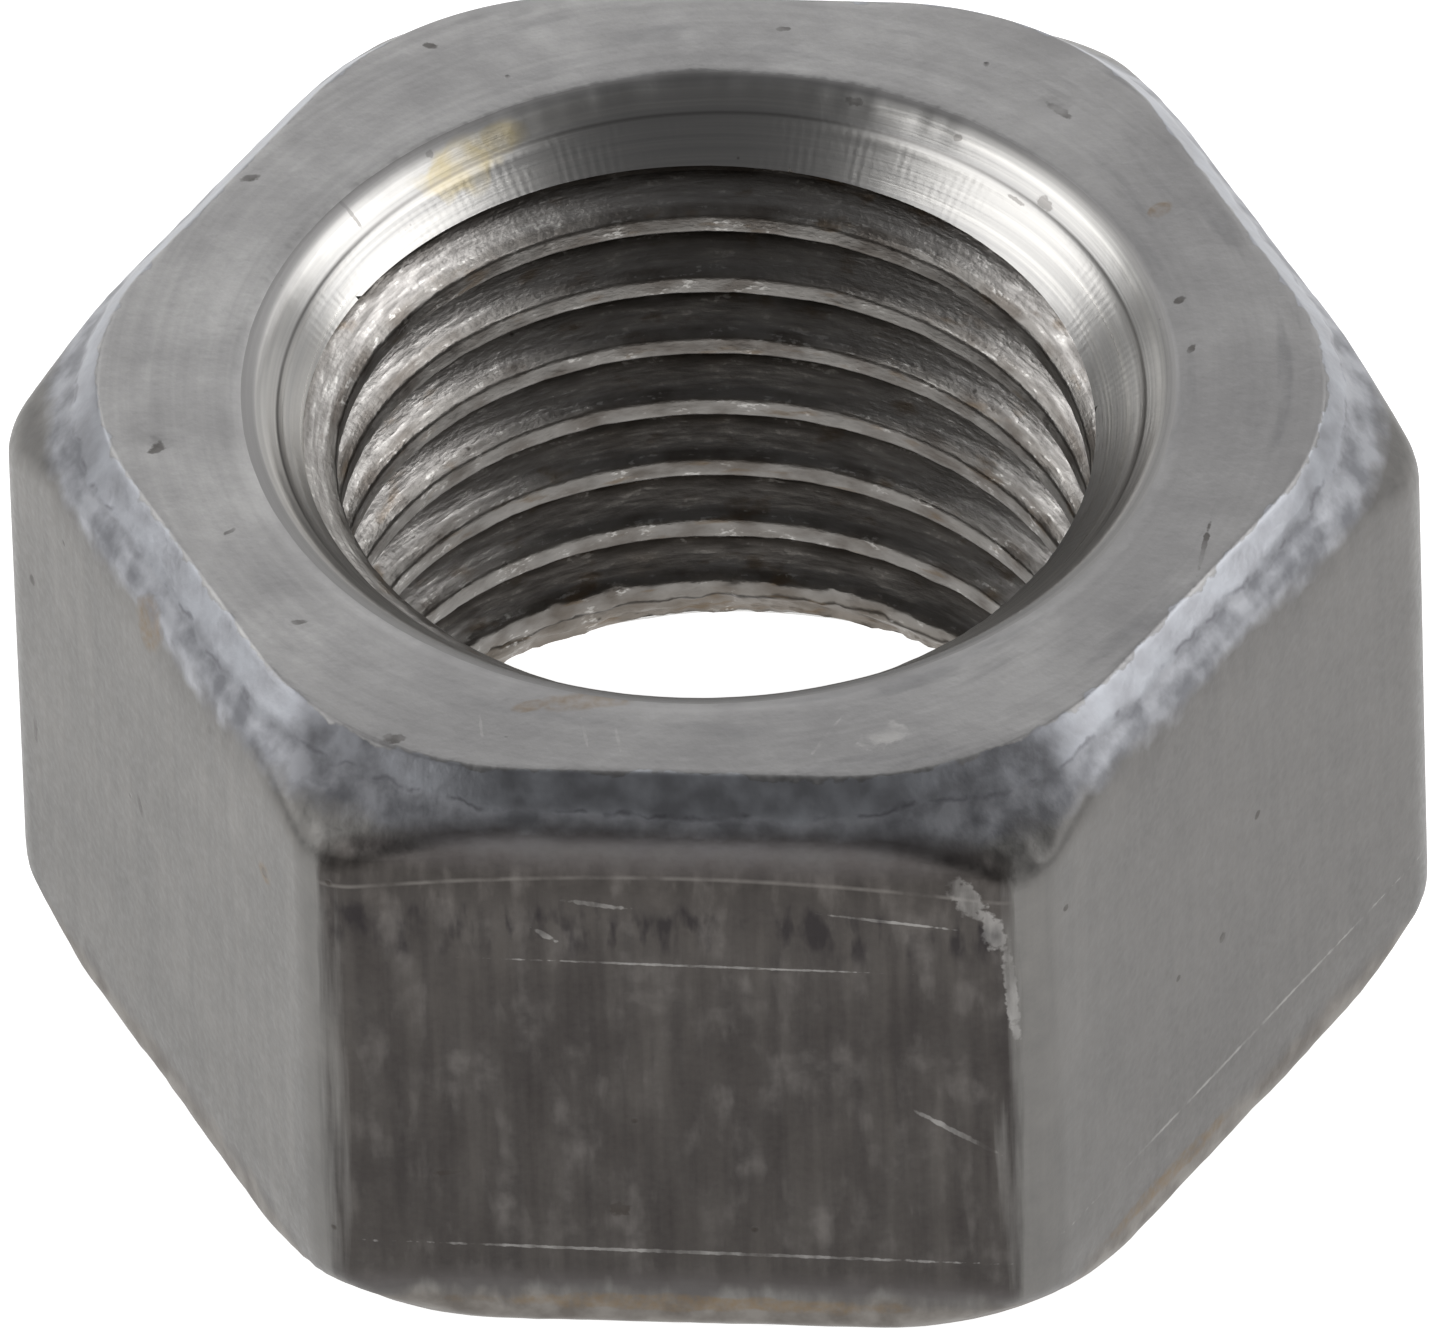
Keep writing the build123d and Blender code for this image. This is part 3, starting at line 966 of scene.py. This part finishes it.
def turned_countersink():
    """The steel freshly cut by the countersinking tool: bright, with fine rings and a little chatter."""
    finish, tree, place = new_finish("turned_countersink")
    rings = turned_grain(tree, place, 0.045, 9.0, 2.0)
    bands = turned_grain(tree, place, 0.20, 20.0, 2.0)
    lumps = grain(tree, place, (0.5, 0.5, 0.5), 4.0)
    fine = grain(tree, place, (0.10, 0.10, 0.10), 2.0)
    parts = node(tree, "SeparateXYZ", (place,)).outputs
    angle = node(tree, "Math", (parts[1], parts[0]), operation="ARCTAN2")
    flat_place = node(tree, "VectorMath", (place, (1, 1, 0)), operation="MULTIPLY")
    radius = node(tree, "VectorMath", (flat_place,), operation="LENGTH").outputs["Value"]
    ribs = node(tree, "Math", (node(tree, "Math", (angle, 260.0), operation="MULTIPLY"),), operation="SINE")
    chatter = node(tree, "Math", (
        node(tree, "Math", (ribs, node(tree, "MapRange", (radius, 6.62, 6.56))), operation="MULTIPLY"),
        node(tree, "MapRange", (lumps, 0.4, 0.6)),
    ), operation="MULTIPLY")
    tone = node(tree, "Math", (
        node(tree, "MapRange", (rings, 0.3, 0.7, 0.85, 1.15)),
        node(tree, "MapRange", (bands, 0.3, 0.7, 0.8, 1.2)),
    ), operation="MULTIPLY")
    paint = node(tree, "MixRGB", (
        node(tree, "MapRange", (tone, 0.7, 1.3)), colour("A2A1A0"), colour("CBC9C5"),
    ))
    stain = marks(tree, place, lumps, [cone_mark(129, 6.66, 1.5, 0.75), cone_mark(122, 6.8, 0.8, 0.4)])
    paint = node(tree, "MixRGB", (
        node(tree, "Math", (
            stain, node(tree, "MapRange", (lumps, 0.3, 0.65, 0.15, 0.7)),
        ), operation="MULTIPLY"),
        paint, colour("B8A878"),
    ))
    scratches = marks(tree, place, fine, [
        cone_mark(146.5, 6.92, 0.07, 0.50), cone_mark(132, 6.95, 0.14, 0.10), cone_mark(60, 6.85, 0.14, 0.10),
        cone_mark(44, 6.7, 0.35, 0.12), cone_mark(75, 6.9, 0.25, 0.1), cone_mark(48, 6.55, 0.4, 0.05),
    ])
    specks = node(tree, "Math", (
        scratches, scattered_pits(tree, place, 0.45, 0.03, 0.12),
    ), operation="MAXIMUM")
    paint = node(tree, "MixRGB", (
        node(tree, "Math", (specks, 0.5), operation="MULTIPLY"), paint, colour("5B5652"),
    ))
    # Painted shade: a thin dark line round the step between the outer and inner bands
    step = node(tree, "Math", (
        node(tree, "MapRange", (radius, 6.60, 6.625)), node(tree, "MapRange", (radius, 6.66, 6.635)),
    ), operation="MULTIPLY")
    paint = node(tree, "MixRGB", (
        node(tree, "Math", (step, 0.45), operation="MULTIPLY"), paint, colour("5B5856"),
    ))
    lip = node(tree, "MapRange", (radius, 6.86, 7.02))
    paint = node(tree, "MixRGB", (
        node(tree, "Math", (lip, 0.8), operation="MULTIPLY"), paint, colour("777676"),
    ))
    rough = node(tree, "MapRange", (lip, 0, 1, node(tree, "MapRange", (tone, 0.7, 1.3, 0.33, 0.27)), 0.5))
    height = node(tree, "Math", (
        rings, 0.5, node(tree, "Math", (chatter, 0.10), operation="MULTIPLY"),
    ), operation="MULTIPLY_ADD")
    height = node(tree, "Math", (fine, 0.25, height), operation="MULTIPLY_ADD")
    bump = node(tree, "Bump", {"Height": height, "Strength": 1.0, "Distance": 0.006 * MM})
    shader = node(tree, "BsdfPrincipled", {
        "Base Color": paint, "Metallic": 1.0, "Roughness": rough, "Normal": bump,
    })
    node(tree, "OutputMaterial", {"Surface": shader})
    return finish


def tapped_thread():
    """Thread cut by a tap: crests rubbed bright, flanks torn and sparkling, old cutting oil in the roots."""
    finish, tree, place = new_finish("tapped_thread")
    torn = turned_grain(tree, place, 0.10, 0.7, 5.0, 0.37)
    lumps = grain(tree, place, (0.8, 0.8, 0.5), 4.0)
    fine = grain(tree, place, (0.11, 0.11, 0.06), 3.0)
    level = node(tree, "VectorMath", (place, (1, 1, 0)), operation="MULTIPLY")
    radius = node(tree, "VectorMath", (level,), operation="LENGTH").outputs["Value"]
    paint = node(tree, "MixRGB", (
        node(tree, "MapRange", (torn, 0.35, 0.65)), colour("8A8784"), colour("ACA9A6"),
    ))
    parts = node(tree, "SeparateXYZ", (place,)).outputs
    crest = node(tree, "MapRange", (radius, 5.96, 5.88))
    rubbed = node(tree, "MixRGB", (
        node(tree, "MapRange", (lumps, 0.36, 0.56)), colour("625C56"), colour("86837F"),
    ))
    paint = node(tree, "MixRGB", (node(tree, "Math", (crest, 0.85), operation="MULTIPLY"), paint, rubbed))
    oil = node(tree, "Math", (
        node(tree, "MapRange", (radius, 6.18, 6.36)), node(tree, "MapRange", (lumps, 0.3, 0.6, 0.5, 1.0)),
    ), operation="MULTIPLY")
    paint = node(tree, "MixRGB", (
        node(tree, "Math", (oil, 0.8), operation="MULTIPLY"), paint, colour("4A433B"),
    ))
    at_back = node(tree, "MapRange", (parts[1], 2.4, 3.6))
    seam_height = node(tree, "Math", (lumps, 0.35, parts[2]), operation="MULTIPLY_ADD")
    seam = node(tree, "Math", (
        node(tree, "MapRange", (seam_height, 1.52, 1.56)),
        node(tree, "MapRange", (seam_height, 1.63, 1.58)),
    ), operation="MULTIPLY")
    paint = node(tree, "MixRGB", (
        node(tree, "Math", (
            node(tree, "Math", (
                at_back, node(tree, "MapRange", (seam_height, 1.9, 1.3)),
            ), operation="MULTIPLY"),
            0.6,
        ), operation="MULTIPLY"),
        paint, colour("776D61"),
    ))
    paint = node(tree, "MixRGB", (
        node(tree, "Math", (
            node(tree, "Math", (seam, at_back), operation="MULTIPLY"), 0.85,
        ), operation="MULTIPLY"),
        paint, colour("2E2924"),
    ))
    rust = node(tree, "MapRange", (grain(tree, place, (0.9, 0.9, 0.25), 5.0), 0.60, 0.70))
    paint = node(tree, "MixRGB", (
        node(tree, "Math", (rust, 0.6), operation="MULTIPLY"), paint, colour("6B5A45"),
    ))
    sparkle = node(tree, "Math", (
        node(tree, "MapRange", (torn, 0.56, 0.64)), node(tree, "MapRange", (fine, 0.50, 0.62)),
    ), operation="MULTIPLY")
    paint = node(tree, "MixRGB", (
        node(tree, "Math", (sparkle, 0.5), operation="MULTIPLY"), paint, colour("E2E0DC"),
    ))
    specks = scattered_pits(tree, place, 0.6, 0.05, 0.2)
    paint = node(tree, "MixRGB", (
        node(tree, "Math", (specks, 0.7), operation="MULTIPLY"), paint, colour("37322E"),
    ))
    rough = node(tree, "MapRange", (torn, 0.3, 0.7, 0.46, 0.30))
    height = node(tree, "Math", (
        torn, 1.2, node(tree, "Math", (fine, 0.8), operation="MULTIPLY"),
    ), operation="MULTIPLY_ADD")
    bump = node(tree, "Bump", {"Height": height, "Strength": 1.0, "Distance": 0.011 * MM})
    shader = node(tree, "BsdfPrincipled", {
        "Base Color": paint, "Metallic": 1.0, "Roughness": rough, "Normal": bump,
    })
    node(tree, "OutputMaterial", {"Surface": shader})
    return finish


for finish in (cold_forged_steel(), turned_countersink(), tapped_thread()):
    nut.data.materials.append(finish)

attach(nut, "root")
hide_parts("hex_nut")


# Stage ------------------------------------------------------------------------------------

deselect_everything()
bpy.ops.mesh.primitive_plane_add(size=3.0)
floor = bpy.context.object
floor.name = "floor"
white = bpy.data.materials.new("white_acrylic_table")
white.use_nodes = True
tree = white.node_tree
tree.nodes.clear()
table = node(tree, "BsdfPrincipled", {
    "Base Color": colour("C8C8C8"), "Roughness": 0.9,
    "Emission Color": colour("FFFFFF"), "Emission Strength": 0.95,
})
node(tree, "OutputMaterial", {"Surface": table})
floor.data.materials.append(white)


def softbox(name, azimuth, elevation, width, height, distance, radiance):
    """Square studio light aimed at the nut; azimuth 0 is in front of it, 90 on its +X side."""
    a, e = math.radians(azimuth), math.radians(elevation)
    place = Vector((math.sin(a) * math.cos(e), -math.cos(a) * math.cos(e), math.sin(e))) * distance
    light = bpy.data.lights.new(name, "AREA")
    light.shape = "RECTANGLE"
    light.size = width
    light.size_y = height
    light.energy = radiance * width * height * math.pi
    lamp = bpy.data.objects.new(name, light)
    lamp.location = place
    lamp.rotation_euler = place.to_track_quat("Z", "Y").to_euler()
    lamp.visible_camera = False
    bpy.context.scene.collection.objects.link(lamp)
    return lamp


softbox("left softbox", -78, 29, 0.95, 0.34, 0.8, 2.3)
softbox("right softbox", 88, 28, 0.80, 0.34, 0.8, 2.5)
softbox("high left softbox", -119, 46, 0.5, 0.40, 0.9, 2.6)
softbox("high right softbox", 119, 46, 0.5, 0.40, 0.9, 3.3)
softbox("back softbox", 180, 38, 1.3, 0.38, 0.9, 1.5)
softbox("back sweep", 180, 10, 2.6, 0.34, 0.9, 0.8)

world = bpy.data.worlds.new("studio")
bpy.context.scene.world = world
world.use_nodes = True
tree = world.node_tree
tree.nodes.clear()
surround = node(tree, "Background", {"Color": colour("BFBFC1"), "Strength": 0.18})
node(tree, "OutputWorld", {"Surface": surround})
bpy.context.scene.view_settings.view_transform = "Standard"

# Camera: looks down at 42.6 degrees from just right of the front wrench flat, through a long lens
AZIMUTH, ELEVATION, TILT = math.radians(4.853), math.radians(42.656), math.radians(-1.860)
DISTANCE = 850.0 * MM
back = Vector((
    math.sin(AZIMUTH) * math.cos(ELEVATION),
    -math.cos(AZIMUTH) * math.cos(ELEVATION),
    math.sin(ELEVATION),
))
right = Vector((math.cos(AZIMUTH), math.sin(AZIMUTH), 0))
up = back.cross(right)
camera_x = math.cos(TILT) * right + math.sin(TILT) * up
camera_y = -math.sin(TILT) * right + math.cos(TILT) * up
target = Vector((0, 0, HEIGHT / 2)) * MM + camera_x * 0.046 * MM - camera_y * 0.269 * MM
camera_data = bpy.data.cameras.new("camera")
camera_data.sensor_width = 36
camera_data.lens = 1382.1
camera_data.clip_start = 0.05
camera_data.clip_end = 10
camera = bpy.data.objects.new("camera", camera_data)
turned = Matrix((camera_x, camera_y, back)).transposed().to_4x4()
camera.matrix_world = Matrix.Translation(target + back * DISTANCE) @ turned
bpy.context.scene.collection.objects.link(camera)
bpy.context.scene.camera = camera
